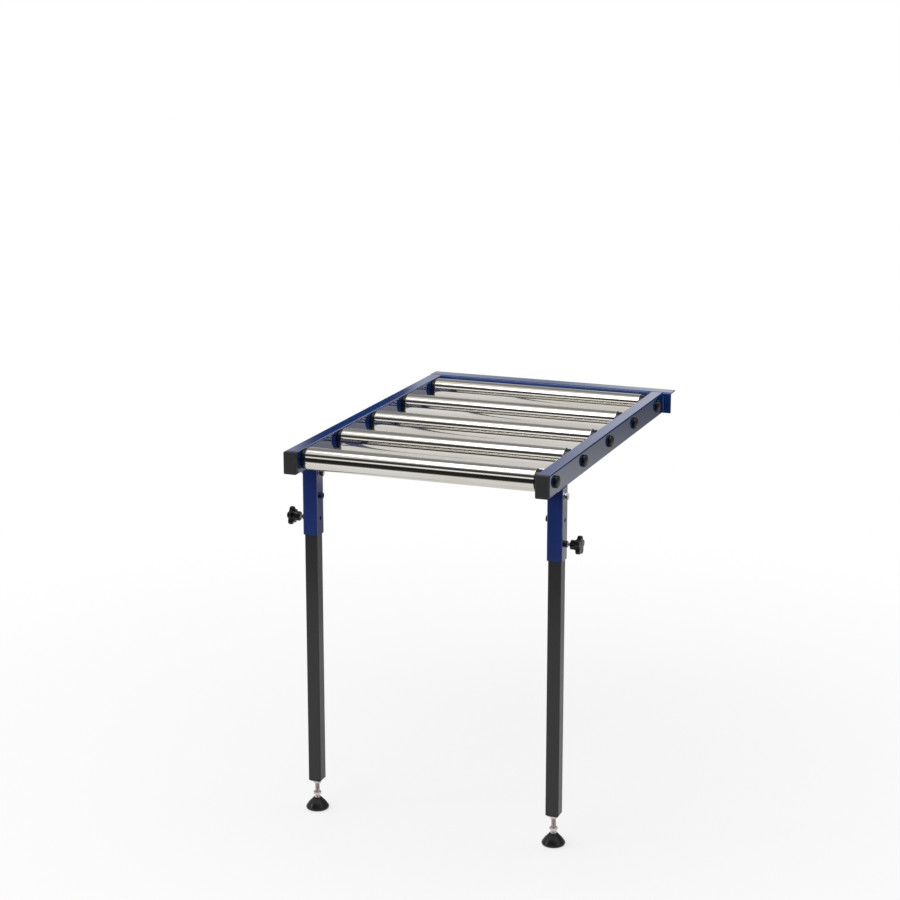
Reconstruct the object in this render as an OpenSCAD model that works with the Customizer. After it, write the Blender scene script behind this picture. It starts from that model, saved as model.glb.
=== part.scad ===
// Roller side table: two rails of rectangular tube carry five free-turning rollers. Two clamped
// legs with levelling feet hold up its front, and a hook flange hangs its back on another frame.
// Millimetres. X runs along the rollers, Y goes back to the hook, Z is up. The origin is on
// the floor, under the middle of the table.

/* [Table] */
// Width over the outer faces of the two side rails
table_w = 600; // [450:5:800]
// Height of the rail tops above the floor
table_h = 860; // [760:5:980]
// Length of each side rail tube
rail_l = 854; // [700:2:1100]

/* [Side rails] */
// Height of the rail tube
rail_h = 50; // [46:1:60]
// Width of the rail tube
rail_w = 30; // [26:1:40]
// Wall of the rail tube
rail_wall = 2; // [1.5:0.1:2.5]
// Outer corner radius of every square tube
tube_corner = 3; // [2.6:0.1:3.5]
// Head thickness of the plastic cap on the front end of a rail
cap_head = 10; // [6:0.5:12]
// Depth of the cap's plug inside the rail
cap_depth = 16; // [10:1:18]
// Hole in the outer wall that lets a socket wrench reach a roller bolt
plug_hole_d = 22; // [20:0.5:24]
// Diameter of the hole plug's head
plug_d = 27; // [25:0.5:30]
// How far a hole plug stands out of the rail
plug_out = 8.5; // [5:0.5:9]

/* [Rollers] */
// Outer diameter of a roller tube
roller_d = 50; // [44:1:52]
// Wall of a roller tube
roller_wall = 1.5; // [1:0.1:2.5]
// Depth of the roller axes below the rail tops
roller_drop = 22; // [18:0.5:25]
// Distance from the front of the end caps to the first roller axis
roller_front = 46; // [40:1:60]
// Distance from the last roller axis to the hook angle
roller_back = 54; // [30:1:80]
// Gap from the end of a roller tube to the rail beside it
roller_gap = 10; // [7:0.5:14]
// Diameter of the fixed shaft
shaft_d = 12; // [11.5:0.5:14]
// Outer diameter of the roller bearing
bearing_d = 28; // [26:1:32]
// Width of the roller bearing
bearing_w = 8; // [6:1:10]
// Diameter of the end cap's lip, outside the tube
lip_d = 46; // [38:1:48]

/* [Hook angle] */
// Sheet thickness of the hook angle
hook_t = 3; // [2:0.5:5]
// How far the flange reaches back from the rail ends
hook_reach = 38; // [25:1:60]
// How far the angle stands out past the right rail
hook_over = 19; // [5:1:40]
// Inside radius of the bend
hook_bend = 2; // [1.5:0.5:5]

/* [Leg sockets] */
// Side of the square socket tube under each rail
socket_w = 35; // [33:1:40]
// Wall of the socket tube
socket_wall = 2; // [1.5:0.1:2.5]
// Length of the socket tube below the rail
socket_l = 160; // [150:5:200]
// Distance from the front of the end caps to the socket
leg_setback = 95; // [85:1:140]
// Clearance on each side between a socket and the leg tube
leg_fit = 0.5; // [0.3:0.1:0.8]
// Length of the stub that is welded under the rail, inside the socket
stub_l = 40; // [35:1:48]
// Depth of the fixing bolt below the rail
fix_drop = 20; // [18:1:22]
// Depth of the spare weld nut below the rail
spare_drop = 72; // [62:1:90]
// Depth of the clamping knob below the rail
clamp_drop = 124; // [112:1:135]

/* [Legs] */
// Wall of the leg tube
leg_wall = 2; // [1.5:0.1:2.5]
// Depth of the leg's top end below the rail, just under the spare weld nut
leg_drop = 80; // [77:1:95]
// Height of the leg's plastic insert above the floor
foot_gap = 68; // [66:1:80]

/* [Fasteners] */
// Thread diameter of the bolts, weld nuts and clamping studs
bolt_d = 8; // [7.5:0.1:8.5]
// Hole for a bolt of that size
bolt_hole_d = 9; // [8.8:0.1:9.5]
// Width across the flats of bolt heads and nuts
bolt_af = 13; // [12.5:0.5:14]
// Height of a bolt head
bolt_head_h = 5.3; // [4:0.1:6.5]
// Height of a nut
nut_h = 6.5; // [5:0.5:8]
// Outer diameter of a washer
washer_d = 16; // [14.5:0.5:18]
// Thickness of a washer
washer_t = 1.6; // [1:0.1:2]
// Length of a roller bolt under its head
roller_bolt_l = 18; // [12:1:20]

/* [Knobs] */
// Distance from the socket to the knob's hub when clamped
knob_gap = 14; // [10:0.5:18]
// Diameter of the knob's hub
hub_d = 21; // [17:0.5:23]
// Length of the hub up to the star grip
hub_l = 14; // [11:0.5:20]
// Diameter over the grip's lobes
star_d = 42; // [38:0.5:48]
// Thickness of the star grip
star_t = 11; // [9:0.5:15]
// Radius of one lobe
lobe_r = 6; // [5:0.25:7]
// Radius of the hollow between two lobes
flute_r = 6; // [5:0.25:8]
// Gap between the clamping stud and the leg
tip_gap = 0.3; // [0.1:0.1:0.5]

/* [Feet] */
// Diameter of the foot pad
pad_d = 52; // [44:1:64]
// Height of the foot pad
pad_h = 28; // [25:0.5:29]
// Height of the pad's rim
rim_h = 10; // [6:0.5:11]
// Diameter of the pad's neck around the ball
pad_neck_d = 17; // [16.5:0.5:24]
// Ball of the foot
ball_d = 15; // [13.5:0.5:16]
// Depth of the ball's centre below the pad's top
ball_drop = 2.5; // [2:0.1:3]
// Diameter of the neck between ball and hexagon
neck_d = 9; // [7:0.5:10]
// Height from the ball's centre to the hexagon
neck_l = 10; // [9.5:0.5:12]
// Width across the flats of the foot's hexagon and lock nut
foot_af = 17; // [16:0.5:19]
// Height of the foot's hexagon
hexagon_h = 5; // [4:0.5:7]
// Thread diameter of the foot stud
stud_d = 10; // [9:0.5:11]
// Length of the foot stud
stud_l = 80; // [72:1:100]
// Height of the lock nut
lock_h = 5; // [4:0.5:7]
// Head thickness of the leg's plastic insert
insert_head = 6; // [5:0.5:8]
// Depth of the insert's body inside the leg
insert_depth = 25; // [18:1:26]
// Bevel round the insert's head
insert_bevel = 4.5; // [1:0.5:4.5]

/* [Fits] */
// Radial clearance of what turns or slides on a shaft or stud
run_fit = 0.05; // [0.02:0.01:0.09]
// Clearance of what is pressed or plugged into a tube
seat_fit = 0.05; // [0.02:0.01:0.2]

/* [Hidden] */
$fn = 64;

// Five rollers: every rail hole, plug, bolt and shaft follows this count.
roller_count = 5;
lobe_count = 5;
// The right knob is stored turned by this angle.
right_turn = 9;
// Cutting tools reach this far past the face that they cut.
past = 1;

// Main places: front face of the end caps, front end of the rails, and the hook's web
depth = cap_head + rail_l + hook_reach;
y_front = -depth / 2;
y_rail = y_front + cap_head;
y_web = y_rail + rail_l;
x_out = table_w / 2;
x_rail = x_out - rail_w / 2;
x_in = x_out - rail_w;
z_rail = table_h - rail_h / 2;
z_under = table_h - rail_h;

// Rollers
roller_pitch = (y_web - y_front - roller_front - roller_back) / (roller_count - 1);
z_roller = table_h - roller_drop;
roller_l = 2 * (x_in - roller_gap);
bore_r = roller_d / 2 - roller_wall;
lip_gap = 1.3;
lip_out = roller_gap - lip_gap;
lip_bevel = 1.5;
cap_in = 2 * bearing_w;
shaft_l = 2 * x_in;
tap_depth = 22;
edge = 0.6;

// Fasteners: how far the fixing bolt stands out of its nut
bolt_end = 2;

// Legs, seen from above: the socket is flush with the rail's outer face
leg_w = socket_w - 2 * socket_wall - 2 * leg_fit;
x_leg = x_out - socket_w / 2;
y_leg = y_front + leg_setback + socket_w / 2;
z_tube = foot_gap + insert_head;
leg_l = z_under - leg_drop - z_tube;

// Feet, from the floor up
z_ball = pad_h - ball_drop;
z_hexagon = z_ball + neck_l;
stud_seat = 1.5;
z_lock = foot_gap - lock_h;

// A function that gives the place of each roller axis
function roller_y(i) = y_front + roller_front + i * roller_pitch;

// Shared forms

// Rectangle with round corners, centred
module rounded(w, h, r) {
    square([w - 2 * r, h], center = true);
    square([w, h - 2 * r], center = true);
    for (x = [-1, 1], y = [-1, 1])
        translate([x * (w / 2 - r), y * (h / 2 - r)]) circle(r);
}

// Section of a square or rectangular tube
module tube_section(w, h, wall) {
    inner_r = max(tube_corner - wall, edge / 2);
    difference() {
        rounded(w, h, tube_corner);
        rounded(w - 2 * wall, h - 2 * wall, inner_r);
    }
}

// Block with bevelled bottom edges and round upright corners, from z = 0 up
module bevelled_block(w, d, t, bevel) {
    intersection() {
        linear_extrude(t) rounded(w, d, tube_corner);
        rotate([90, 0, 0]) linear_extrude(d, center = true) bevelled_side(w, t, bevel);
        rotate([90, 0, 90]) linear_extrude(w, center = true) bevelled_side(d, t, bevel);
    }
}

module bevelled_side(w, t, bevel) {
    polygon([
        [-w / 2 + bevel, 0], [w / 2 - bevel, 0], [w / 2, bevel],
        [w / 2, t], [-w / 2, t], [-w / 2, bevel]
    ]);
}

// Hexagon with both ends turned to a chamfer, from z = 0 up
module hexagon(af, h) {
    corner = af / cos(30);
    rise = (corner - af) / 2 * tan(30);
    intersection() {
        cylinder(d = corner, h = h, $fn = 6);
        rotate_extrude() polygon([
            [0, 0], [af / 2, 0], [corner / 2, rise],
            [corner / 2, h - rise], [af / 2, h], [0, h]
        ]);
    }
}

// Bolt with its head on top of z = 0 and its shank below
module bolt(l) {
    hexagon(bolt_af, bolt_head_h);
    rod(bolt_d, -l, edge);
}

// Round bar with chamfered ends, from z = from up to z = to
module rod(d, from, to) {
    low = min(from, to);
    high = max(from, to);
    rotate_extrude() polygon([
        [0, low], [d / 2 - edge, low], [d / 2, low + edge],
        [d / 2, high - edge], [d / 2 - edge, high], [0, high]
    ]);
}

module nut(af, h, d) {
    difference() {
        hexagon(af, h);
        translate([0, 0, -past]) cylinder(d = d + 2 * run_fit, h = h + 2 * past);
    }
}

module washer() {
    difference() {
        cylinder(d = washer_d, h = washer_t);
        translate([0, 0, -past]) cylinder(d = bolt_hole_d, h = washer_t + 2 * past);
    }
}

// Turns a form that stands up along Z so that it points along +X
module along_x() {
    rotate([0, 90, 0]) children();
}

module left_hand() {
    mirror([1, 0, 0]) children();
}

module at_each_roller(x) {
    for (i = [0 : roller_count - 1])
        translate([x, roller_y(i), z_roller]) along_x() children();
}

// Side rail of the right-hand side, with its end open at the front
module side_rail() {
    difference() {
        translate([x_rail, y_web, z_rail])
            rotate([90, 0, 0]) linear_extrude(rail_l) tube_section(rail_w, rail_h, rail_wall);
        at_each_roller(x_rail) cylinder(d = plug_hole_d, h = rail_w);
        at_each_roller(x_in - past) cylinder(d = bolt_hole_d, h = rail_w / 2);
    }
}

module left_rail() color("navy") left_hand() side_rail();
module right_rail() color("navy") side_rail();

// Bent sheet angle: the web closes the rail ends and the flange hooks over a frame's top edge
module hook_angle() {
    bend_out = hook_bend + hook_t;
    web_drop = rail_h - bend_out;
    color("navy")
    translate([-x_out, y_web, table_h])
        rotate([90, 0, 90]) linear_extrude(table_w + hook_over) {
            translate([0, -rail_h]) square([hook_t, web_drop]);
            translate([bend_out, -hook_t]) square([hook_reach - bend_out, hook_t]);
            translate([bend_out, -bend_out]) intersection() {
                difference() {
                    circle(bend_out);
                    circle(hook_bend);
                }
                translate([-bend_out, 0]) square(bend_out);
            }
        }
}

// Plastic cap on the front end of a rail: a bevelled head and a ribbed hollow plug
module rail_cap() {
    plug_w = rail_w - 2 * rail_wall - 2 * seat_fit;
    plug_h = rail_h - 2 * rail_wall - 2 * seat_fit;
    rib_t = 1.5;
    rib_out = 1.2;
    core_w = plug_w - 2 * rib_out;
    core_h = plug_h - 2 * rib_out;
    core_wall = 2;
    rib_pitch = (cap_depth - rib_t) / 3;
    translate([x_rail, y_front, z_rail]) rotate([-90, 0, 0]) {
        bevelled_block(rail_w, rail_h, cap_head, 1);
        translate([0, 0, cap_head]) {
            linear_extrude(cap_depth) difference() {
                square([core_w, core_h], center = true);
                square([core_w - 2 * core_wall, core_h - 2 * core_wall], center = true);
            }
            for (i = [1 : 3])
                translate([0, 0, i * rib_pitch]) linear_extrude(rib_t) difference() {
                    rounded(plug_w, plug_h, max(tube_corner - rail_wall, edge / 2));
                    square([core_w - core_wall, core_h - core_wall], center = true);
                }
        }
    }
}

module left_rail_cap() color("dimgray") left_hand() rail_cap();
module right_rail_cap() color("dimgray") rail_cap();

// Shallow round cap of a sphere, from z = 0 up
module dome(d, rise) {
    ball_r = (pow(d / 2, 2) + pow(rise, 2)) / (2 * rise);
    intersection() {
        translate([0, 0, rise - ball_r]) sphere(ball_r);
        cylinder(d = d + 2 * past, h = rise + past);
    }
}

// Snap-in plug with a domed head, one for each wrench hole
module hole_plugs() {
    dome_rise = plug_out / 3;
    flat_h = plug_out - dome_rise;
    skirt_d = plug_hole_d - 2 * seat_fit;
    skirt_l = rail_wall + 4;
    skirt_wall = 1.5;
    ridge = 0.5;
    at_each_roller(x_out) {
        cylinder(d = plug_d, h = flat_h);
        translate([0, 0, flat_h]) dome(plug_d, dome_rise);
        rotate_extrude() polygon([
            [skirt_d / 2 - skirt_wall, 0], [skirt_d / 2, 0], [skirt_d / 2, -rail_wall - ridge],
            [skirt_d / 2 + ridge, -rail_wall - 2 * ridge], [skirt_d / 2, -rail_wall - 3 * ridge],
            [skirt_d / 2, -skirt_l], [skirt_d / 2 - skirt_wall, -skirt_l]
        ]);
    }
}

module left_hole_plugs() color("dimgray") left_hand() hole_plugs();
module right_hole_plugs() color("dimgray") hole_plugs();

// Bolt in each shaft end: its head and washer lie inside the rail, against the inner wall
module roller_washers() {
    at_each_roller(x_in + rail_wall) washer();
}

module roller_bolts() {
    at_each_roller(x_in + rail_wall + washer_t) bolt(roller_bolt_l);
}

module left_roller_washers() color("silver") left_hand() roller_washers();
module right_roller_washers() color("silver") roller_washers();
module left_roller_bolts() color("silver") left_hand() roller_bolts();
module right_roller_bolts() color("silver") roller_bolts();

// Fixed shaft between the rails, tapped at both ends
module roller_shaft(i) {
    color("silver")
    translate([0, roller_y(i), z_roller]) along_x() difference() {
        rod(shaft_d, -shaft_l / 2, shaft_l / 2);
        for (side = [-1, 1])
            translate([0, 0, side * shaft_l / 2])
                cylinder(d = bolt_d + 2 * seat_fit, h = 2 * tap_depth, center = true);
    }
}

// Chromed roller tube with its edges broken
module roller_tube(i) {
    out_r = roller_d / 2;
    half = roller_l / 2;
    color("gainsboro")
    translate([0, roller_y(i), z_roller]) along_x() rotate_extrude($fn = 96) polygon([
        [bore_r, -half], [out_r - edge, -half], [out_r, -half + edge],
        [out_r, half - edge], [out_r - edge, half], [bore_r, half]
    ]);
}

// Plastic end caps: each plugs into the tube, holds a bearing and fills the gap to the rail
module roller_end_caps(i) {
    plug_r = bore_r - seat_fit;
    pocket_r = bearing_d / 2;
    hole_r = shaft_d / 2 + 1.5;
    lip_r = lip_d / 2;
    groove_in = hole_r + 3;
    groove_out = lip_r - 4;
    groove_t = 2.5;
    color("dimgray")
    for (side = [-1, 1])
        translate([side * roller_l / 2, roller_y(i), z_roller])
            rotate([0, side * 90, 0]) rotate_extrude() polygon([
                [pocket_r, -cap_in], [plug_r - edge, -cap_in], [plug_r, -cap_in + edge],
                [plug_r, 0], [lip_r, 0], [lip_r, lip_out - lip_bevel],
                [lip_r - lip_bevel, lip_out], [groove_out, lip_out],
                [groove_out, lip_out - groove_t], [groove_in, lip_out - groove_t],
                [groove_in, lip_out], [hole_r, lip_out],
                [hole_r, bearing_w - cap_in], [pocket_r, bearing_w - cap_in]
            ]);
}

// Sealed ball bearings, one in each end cap
module roller_bearings(i) {
    in_r = shaft_d / 2 + run_fit;
    out_r = bearing_d / 2 - seat_fit;
    ring = 2.2;
    seal_t = 0.5;
    color("silver")
    for (side = [-1, 1])
        translate([side * roller_l / 2, roller_y(i), z_roller])
            rotate([0, side * 90, 0]) translate([0, 0, -cap_in]) rotate_extrude() polygon([
                [in_r, 0], [in_r + ring, 0], [in_r + ring, seal_t], [out_r - ring, seal_t],
                [out_r - ring, 0], [out_r, 0], [out_r, bearing_w], [out_r - ring, bearing_w],
                [out_r - ring, bearing_w - seal_t], [in_r + ring, bearing_w - seal_t],
                [in_r + ring, bearing_w], [in_r, bearing_w]
            ]);
}

// Stub under the rail, inside the socket: the fixing bolt holds the socket on it
module leg_stub() {
    difference() {
        translate([x_leg, y_leg, z_under - stub_l])
            linear_extrude(stub_l) tube_section(leg_w, leg_w, leg_wall);
        cross_hole(fix_drop);
    }
}

// Hole through both sides of a leg socket, at a depth below the rail
module cross_hole(drop) {
    translate([x_leg, y_leg, z_under - drop]) along_x()
        cylinder(d = bolt_hole_d, h = socket_w + 2 * past, center = true);
}

module left_leg_stub() color("navy") left_hand() leg_stub();
module right_leg_stub() color("navy") leg_stub();

module socket() {
    difference() {
        translate([x_leg, y_leg, z_under - socket_l])
            linear_extrude(socket_l) tube_section(socket_w, socket_w, socket_wall);
        cross_hole(fix_drop);
        cross_hole(spare_drop);
        cross_hole(clamp_drop);
    }
}

module left_socket() color("midnightblue") left_hand() socket();
module right_socket() color("midnightblue") socket();

// Weld nuts: one outside for the clamping stud, and a spare one inside
module weld_nuts() {
    translate([x_out, y_leg, z_under - clamp_drop]) along_x() nut(bolt_af, nut_h, bolt_d);
    translate([x_out - socket_w, y_leg, z_under - spare_drop])
        rotate([0, -90, 0]) nut(bolt_af, nut_h, bolt_d);
}

module left_weld_nuts() color("midnightblue") left_hand() weld_nuts();
module right_weld_nuts() color("midnightblue") weld_nuts();

// Bolt through socket and stub, with its nut on the inner side and a washer at each end
module fixing_bolt() {
    grip = washer_t + socket_w + washer_t + nut_h;
    translate([x_out + washer_t, y_leg, z_under - fix_drop]) along_x() bolt(grip + bolt_end);
}

module left_fixing_bolt() color("silver") left_hand() fixing_bolt();
module right_fixing_bolt() color("silver") fixing_bolt();

module fixing_washers() {
    translate([x_out, y_leg, z_under - fix_drop]) along_x() washer();
    translate([x_out - socket_w - washer_t, y_leg, z_under - fix_drop]) along_x() washer();
}

module left_fixing_washers() color("silver") left_hand() fixing_washers();
module right_fixing_washers() color("silver") fixing_washers();

module fixing_nut() {
    translate([x_out - socket_w - washer_t, y_leg, z_under - fix_drop])
        rotate([0, -90, 0]) nut(bolt_af, nut_h, bolt_d);
}

module left_fixing_nut() color("dimgray") left_hand() fixing_nut();
module right_fixing_nut() color("dimgray") fixing_nut();

// Clamping stud: it turns in the outer weld nut and presses on the leg
module clamp_stud() {
    tip = x_out - socket_wall - leg_fit + tip_gap;
    translate([0, y_leg, z_under - clamp_drop]) along_x()
        rod(bolt_d, tip, x_out + knob_gap + hub_l);
}

module left_clamp_stud() color("silver") left_hand() clamp_stud();
module right_clamp_stud() color("silver") clamp_stud();

// Outline of the star grip: round lobes joined by hollows that touch them smoothly
module star_outline() {
    half_step = 180 / lobe_count;
    lobe_at = star_d / 2 - lobe_r;
    flute_at = lobe_at * cos(half_step)
        + sqrt(pow(lobe_r + flute_r, 2) - pow(lobe_at * sin(half_step), 2));
    difference() {
        polygon([
            for (i = [0 : 2 * lobe_count - 1])
                (i % 2 == 0 ? lobe_at : flute_at) * [cos(i * half_step), sin(i * half_step)]
        ]);
        for (i = [0 : lobe_count - 1])
            rotate((2 * i + 1) * half_step) translate([flute_at, 0]) circle(flute_r);
    }
    for (i = [0 : lobe_count - 1])
        rotate(2 * i * half_step) translate([lobe_at, 0]) circle(lobe_r);
}

// Star knob: a round hub that flares into a five-lobed grip with a domed middle. At no turn
// one lobe points straight up.
module knob(turn) {
    back_bevel = 2.5;
    face_bevel = 2;
    dome_rise = 1;
    dome_d = hub_d + 4;
    flare_l = 4;
    star_r = star_d / 2;
    face_at = star_t - dome_rise;
    flare_r = star_r - lobe_r - 1;
    blind = 0.3;
    translate([x_out + knob_gap, y_leg, z_under - clamp_drop]) along_x() difference() {
        union() {
            rotate_extrude() polygon([
                [0, 0], [hub_d / 2 - 1, 0], [hub_d / 2, 1], [hub_d / 2, hub_l - flare_l],
                [flare_r, hub_l], [flare_r, hub_l + 1], [0, hub_l + 1]
            ]);
            translate([0, 0, hub_l]) intersection() {
                rotate(180 + turn) linear_extrude(star_t) star_outline();
                rotate_extrude() polygon([
                    [0, 0], [star_r - back_bevel, 0], [star_r + past, back_bevel + past],
                    [star_r + past, face_at - face_bevel - past], [star_r - face_bevel, face_at],
                    [0, face_at]
                ]);
            }
            translate([0, 0, hub_l + face_at]) dome(dome_d, dome_rise);
        }
        translate([0, 0, -past])
            cylinder(d = bolt_d + 2 * run_fit, h = past + hub_l + blind);
    }
}

module left_knob() color("dimgray") left_hand() knob(0);
module right_knob() color("dimgray") knob(right_turn);

// Leg tube, which slides in the socket
module leg() {
    translate([x_leg, y_leg, z_tube]) linear_extrude(leg_l) tube_section(leg_w, leg_w, leg_wall);
}

module left_leg() color("darkslategray") left_hand() leg();
module right_leg() color("darkslategray") leg();

// Plastic insert in the leg's lower end, threaded for the foot stud
module leg_insert() {
    body_w = leg_w - 2 * leg_wall - 2 * seat_fit;
    rib_t = 1.5;
    rib_out = 1;
    rib_pitch = (insert_depth - rib_t) / 3;
    translate([x_leg, y_leg, foot_gap]) difference() {
        union() {
            bevelled_block(leg_w, leg_w, insert_head, insert_bevel);
            translate([0, 0, insert_head]) {
                linear_extrude(insert_depth) square(body_w - 2 * rib_out, center = true);
                for (i = [1 : 3])
                    translate([0, 0, i * rib_pitch]) linear_extrude(rib_t)
                        rounded(body_w, body_w, max(tube_corner - leg_wall, edge / 2));
            }
        }
        translate([0, 0, -past])
            cylinder(d = stud_d + 2 * run_fit, h = insert_head + insert_depth + 2 * past);
    }
}

module left_leg_insert() color("dimgray") left_hand() leg_insert();
module right_leg_insert() color("dimgray") leg_insert();

// Lock nut under the insert
module lock_nut() {
    translate([x_leg, y_leg, z_lock]) nut(foot_af, lock_h, stud_d);
}

module left_lock_nut() color("silver") left_hand() lock_nut();
module right_lock_nut() color("silver") lock_nut();

// Threaded stud of the foot
module foot_stud() {
    low = z_hexagon + stud_seat;
    translate([x_leg, y_leg, 0]) rod(stud_d, low, low + stud_l);
}

module left_foot_stud() color("silver") left_hand() foot_stud();
module right_foot_stud() color("silver") foot_stud();

// Hexagon with a neck and a ball below it, which turns in the pad
module foot_hexagon() {
    translate([x_leg, y_leg, z_ball]) difference() {
        union() {
            sphere(d = ball_d);
            cylinder(d = neck_d, h = neck_l + past);
            translate([0, 0, neck_l]) hexagon(foot_af, hexagon_h);
        }
        translate([0, 0, neck_l + stud_seat - run_fit])
            cylinder(d = stud_d + 2 * run_fit, h = hexagon_h);
    }
}

module left_foot_hexagon() color("silver") left_hand() foot_hexagon();
module right_foot_hexagon() color("silver") foot_hexagon();

// Conical plastic pad with a round rim: its cup grips the ball just above the middle
module foot_pad() {
    rim_r = rim_h / 2;
    rim_at = pad_d / 2 - rim_r;
    rim_out = rim_r * cos(45);
    recess_r = rim_at - 4;
    recess_h = 1.5;
    translate([x_leg, y_leg, 0]) difference() {
        rotate_extrude() {
            translate([rim_at, rim_r]) circle(rim_r);
            polygon([
                [0, 0], [rim_at, 0], [rim_at + rim_out, rim_r + rim_out],
                [rim_at - 1.5, pad_h * 0.57], [pad_neck_d / 2, pad_h], [0, pad_h]
            ]);
        }
        translate([0, 0, z_ball]) sphere(d = ball_d + 2 * run_fit);
        translate([0, 0, -past]) cylinder(r = recess_r, h = past + recess_h);
    }
}

module left_foot_pad() color("dimgray") left_hand() foot_pad();
module right_foot_pad() color("dimgray") foot_pad();

left_rail();
right_rail();
hook_angle();
left_rail_cap();
right_rail_cap();
left_hole_plugs();
right_hole_plugs();
left_roller_bolts();
right_roller_bolts();
left_roller_washers();
right_roller_washers();
for (i = [1 : roller_count]) {
    roller_shaft(i - 1);
    roller_tube(i - 1);
    roller_end_caps(i - 1);
    roller_bearings(i - 1);
}
left_leg_stub();
right_leg_stub();
left_socket();
right_socket();
left_weld_nuts();
right_weld_nuts();
left_fixing_bolt();
right_fixing_bolt();
left_fixing_washers();
right_fixing_washers();
left_fixing_nut();
right_fixing_nut();
left_clamp_stud();
right_clamp_stud();
left_knob();
right_knob();
left_leg();
right_leg();
left_leg_insert();
right_leg_insert();
left_lock_nut();
right_lock_nut();
left_foot_stud();
right_foot_stud();
left_foot_hexagon();
right_foot_hexagon();
left_foot_pad();
right_foot_pad();
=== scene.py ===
import math

import bmesh
import bpy
import numpy as np
from mathutils import Matrix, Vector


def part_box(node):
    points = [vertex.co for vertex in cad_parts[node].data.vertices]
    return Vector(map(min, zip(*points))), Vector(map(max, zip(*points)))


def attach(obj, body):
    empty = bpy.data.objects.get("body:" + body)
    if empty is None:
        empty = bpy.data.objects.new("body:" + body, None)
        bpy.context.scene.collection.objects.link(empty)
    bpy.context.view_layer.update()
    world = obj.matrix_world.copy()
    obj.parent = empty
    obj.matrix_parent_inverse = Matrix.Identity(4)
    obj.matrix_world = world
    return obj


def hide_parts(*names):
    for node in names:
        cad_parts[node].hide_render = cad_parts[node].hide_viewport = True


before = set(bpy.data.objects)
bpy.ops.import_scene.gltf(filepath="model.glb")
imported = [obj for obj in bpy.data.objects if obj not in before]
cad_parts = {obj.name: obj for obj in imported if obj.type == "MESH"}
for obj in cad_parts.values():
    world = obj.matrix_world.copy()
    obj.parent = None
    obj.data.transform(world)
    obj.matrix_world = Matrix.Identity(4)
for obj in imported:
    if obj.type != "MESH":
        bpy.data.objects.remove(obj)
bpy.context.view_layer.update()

# Sides of the table: the sign of their X and their name.
SIDES = ((-1, "left"), (1, "right"))

# Camera: it stands in front of the table and to its right, looks a little to the left and down on
# the rollers, and sees the table's front and its right side in a square picture. Its lens is in
# millimetres, its place in metres, and its turn to the left and dip are in degrees.
LENS = 89.406
CAMERA_AT = (1.7001, -4.6653, 2.0073)
CAMERA_TURN = 20.989
CAMERA_DIP = 13.817

camera = bpy.data.objects.new("camera", bpy.data.cameras.new("camera"))
bpy.context.scene.collection.objects.link(camera)
bpy.context.scene.camera = camera
camera.data.sensor_width = 36.0
camera.data.lens = LENS
camera.data.clip_end = 200.0
turned = Matrix.Rotation(math.radians(CAMERA_TURN), 4, "Z")
tipped = Matrix.Rotation(math.radians(90 - CAMERA_DIP), 4, "X")
camera.matrix_world = Matrix.Translation(CAMERA_AT) @ turned @ tipped
bpy.context.scene.view_settings.view_transform = "Standard"


# Studio: a pale floor that fades into a white background, softboxes over the table, in front of it
# and at its left, and a soft sky that is brightest at the left. Polished steel and enamel mirror a
# room of dark and bright panels, which give the chromed tubes their lengthwise bands.
def grey(level):
    return (level, level, level, 1.0)


class Value:
    """A shader socket used in Python sums: each operator adds the Math node that works it out."""

    def __init__(self, shader, socket):
        self.shader = shader
        self.socket = socket

    def math(self, operation, first, second=0.0):
        return self.shader.node("Math", {"operation": operation}, {0: first, 1: second})

    def __add__(self, other):
        return self.math("ADD", self, other)

    def __sub__(self, other):
        return self.math("SUBTRACT", self, other)

    def __rsub__(self, other):
        return self.math("SUBTRACT", other, self)

    def __mul__(self, other):
        return self.math("MULTIPLY", self, other)

    def __truediv__(self, other):
        return self.math("DIVIDE", self, other)

    def most(self, other):
        """The larger of two values."""
        return self.math("MAXIMUM", self, other)

    __radd__ = __add__
    __rmul__ = __mul__


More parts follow.
